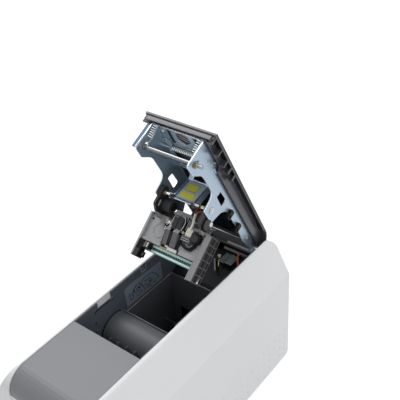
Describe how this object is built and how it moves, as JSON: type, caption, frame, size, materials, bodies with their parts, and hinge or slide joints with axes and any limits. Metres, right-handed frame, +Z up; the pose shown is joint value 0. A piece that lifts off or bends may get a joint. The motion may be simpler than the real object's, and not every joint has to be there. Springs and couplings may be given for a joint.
{
  "type": "id card printer",
  "caption": "Desktop plastic card printer with white side shells, its hinged lid raised to show a swinging thermal print head over the ribbon bay",
  "frame": {"origin": "middle of the printer's footprint on the table, under the rubber feet", "axes": "+X to the right as seen from the front, +Y to the rear along the card path, +Z up"},
  "size_m": [0.173, 0.383, 0.4361],
  "materials": {
    "white_plastic": "fine_texture_smooth",
    "grey_panel": "smooth",
    "dark_plastic": "fine_texture",
    "black_plastic": "fine_texture",
    "liner_plastic": "smooth_satin",
    "lid_plastic": "fine_texture",
    "rail_plastic": "fine_texture",
    "carrier_plastic": "fine_texture",
    "duct_plastic": "fine_texture",
    "button_plastic": "smooth",
    "zinc_steel": "zinc_plated",
    "lid_steel": "blue_zinc_plated",
    "bright_steel": "polished",
    "motor_steel": "satin",
    "brass": "turned",
    "rubber": "matte",
    "roller_rubber": "ground",
    "cleaning_rubber": "tacky",
    "white_nylon": "moulded",
    "circuit_board": "solder_mask",
    "red_wire": "insulation",
    "white_sleeve": "sleeve",
    "clear_window": "smooth",
    "bar_teal": "glazed_edges"
  },
  "bodies": {
    "chassis": {"base_pan": "zinc_steel", "rubber_feet": "rubber", "side_panel_left": "white_plastic", "side_panel_right": "white_plastic", "top_panel": "grey_panel", "front_fascia": "white_plastic", "rear_panel": "dark_plastic", "bay_liner_left": "liner_plastic", "bay_liner_right": "liner_plastic", "ribbon_well": "black_plastic", "roller_hood": "black_plastic", "rear_deck": "black_plastic", "latch_catches": "zinc_steel", "hinge_brackets": "zinc_steel", "side_frames": "zinc_steel", "transport_plates": "zinc_steel", "card_bed": "black_plastic", "card_hopper": "dark_plastic", "output_bin": "dark_plastic", "main_board": "circuit_board", "power_inlet": "black_plastic", "data_sockets": "bright_steel", "feed_motor": "motor_steel", "ribbon_motor": "motor_steel", "fan_frame": "black_plastic", "body_screws": "bright_steel", "roller_bushes": "white_nylon", "transport_belt": "rubber", "deck_wires": "red_wire", "status_window": "clear_window", "hinge_pins": "bright_steel"},
    "lid": {"lid_cover": "lid_plastic", "lid_frame": "lid_steel", "cross_rod": "bright_steel", "spring_rod": "bright_steel", "latch_springs": "bright_steel", "lid_screws": "bright_steel", "cable_clips": "black_plastic", "lid_duct": "duct_plastic", "head_bracket": "lid_steel", "head_pivot_rod": "bright_steel"},
    "head": {"head_carrier": "carrier_plastic", "print_bar": "bar_teal", "head_rail": "rail_plastic", "head_blocks": "black_plastic", "head_cable": "white_sleeve"},
    "latch": {"latch_shaft": "bright_steel"},
    "platen": {"platen_roller": "roller_rubber"},
    "feed": {"feed_roller": "roller_rubber"},
    "exit": {"exit_roller": "roller_rubber"},
    "picker": {"pick_roller": "roller_rubber"},
    "cleaner": {"cleaning_roller": "cleaning_rubber"},
    "pinion": {"motor_pinion": "brass"},
    "takeup": {"takeup_hub": "white_nylon"},
    "supply": {"supply_hub": "white_nylon"},
    "ribbon_drive": {"ribbon_pinion": "brass"},
    "fan": {"fan_rotor": "black_plastic"},
    "button": {"power_button": "button_plastic"},
    "door": {"hopper_door": "dark_plastic"},
    "weight": {"card_weight": "motor_steel"}
  },
  "joints": [
    {"name": "lid_hinge", "type": "hinge", "parent": "chassis", "child": "lid", "pos_m": [0, 0.1736, 0.1953], "axis": [1, 0, 0], "range_deg": [0, 64.1]},
    {"name": "latch_slide", "type": "slide", "parent": "lid", "child": "latch", "axis": [0, 0.9964, 0.0848], "range_m": [0, 0.005], "stiffness_N_per_m": 400, "springref_m": -0.002},
    {"name": "head_swing", "type": "hinge", "parent": "lid", "child": "head", "pos_m": [0, 0.0836, 0.32502], "axis": [1, 0, 0], "range_deg": [-10, 0]},
    {"name": "platen_spin", "type": "hinge", "parent": "chassis", "child": "platen", "pos_m": [0, 0.04477, 0.0878], "axis": [1, 0, 0], "continuous": true},
    {"name": "feed_spin", "type": "hinge", "parent": "chassis", "child": "feed", "pos_m": [0, -0.064, 0.0878], "axis": [1, 0, 0], "continuous": true},
    {"name": "exit_spin", "type": "hinge", "parent": "chassis", "child": "exit", "pos_m": [0, 0.12, 0.0878], "axis": [1, 0, 0], "continuous": true},
    {"name": "pick_spin", "type": "hinge", "parent": "chassis", "child": "picker", "pos_m": [0, -0.122, 0.0863], "axis": [1, 0, 0], "continuous": true},
    {"name": "clean_spin", "type": "hinge", "parent": "chassis", "child": "cleaner", "pos_m": [0, -0.04, 0.1026], "axis": [1, 0, 0], "continuous": true},
    {"name": "pinion_spin", "type": "hinge", "parent": "chassis", "child": "pinion", "pos_m": [0, 0.137, 0.0708], "axis": [1, 0, 0], "continuous": true},
    {"name": "takeup_spin", "type": "hinge", "parent": "chassis", "child": "takeup", "pos_m": [0, -0.024, 0.149], "axis": [1, 0, 0], "continuous": true},
    {"name": "supply_spin", "type": "hinge", "parent": "chassis", "child": "supply", "pos_m": [0, 0.076, 0.15], "axis": [1, 0, 0], "continuous": true},
    {"name": "ribbon_spin", "type": "hinge", "parent": "chassis", "child": "ribbon_drive", "pos_m": [0, 0, 0.149], "axis": [1, 0, 0], "continuous": true},
    {"name": "fan_spin", "type": "hinge", "parent": "chassis", "child": "fan", "pos_m": [0, 0.183, 0.15], "axis": [0, 1, 0], "continuous": true},
    {"name": "button_press", "type": "slide", "parent": "chassis", "child": "button", "axis": [0, 1, 0], "range_m": [0, 0.0015], "stiffness_N_per_m": 400, "springref_m": -0.001},
    {"name": "door_hinge", "type": "hinge", "parent": "chassis", "child": "door", "pos_m": [0, -0.18925, 0.0986], "axis": [1, 0, 0], "range_deg": [0, 85]},
    {"name": "weight_slide", "type": "slide", "parent": "chassis", "child": "weight", "axis": [0, 0, 1], "range_m": [0, 0.074]}
  ],
  "couplings": [
    {"joint": "pinion_spin", "follows": "exit_spin", "ratio": -3},
    {"joint": "feed_spin", "follows": "exit_spin", "ratio": 1},
    {"joint": "platen_spin", "follows": "exit_spin", "ratio": 1},
    {"joint": "ribbon_spin", "follows": "takeup_spin", "ratio": -4}
  ]
}
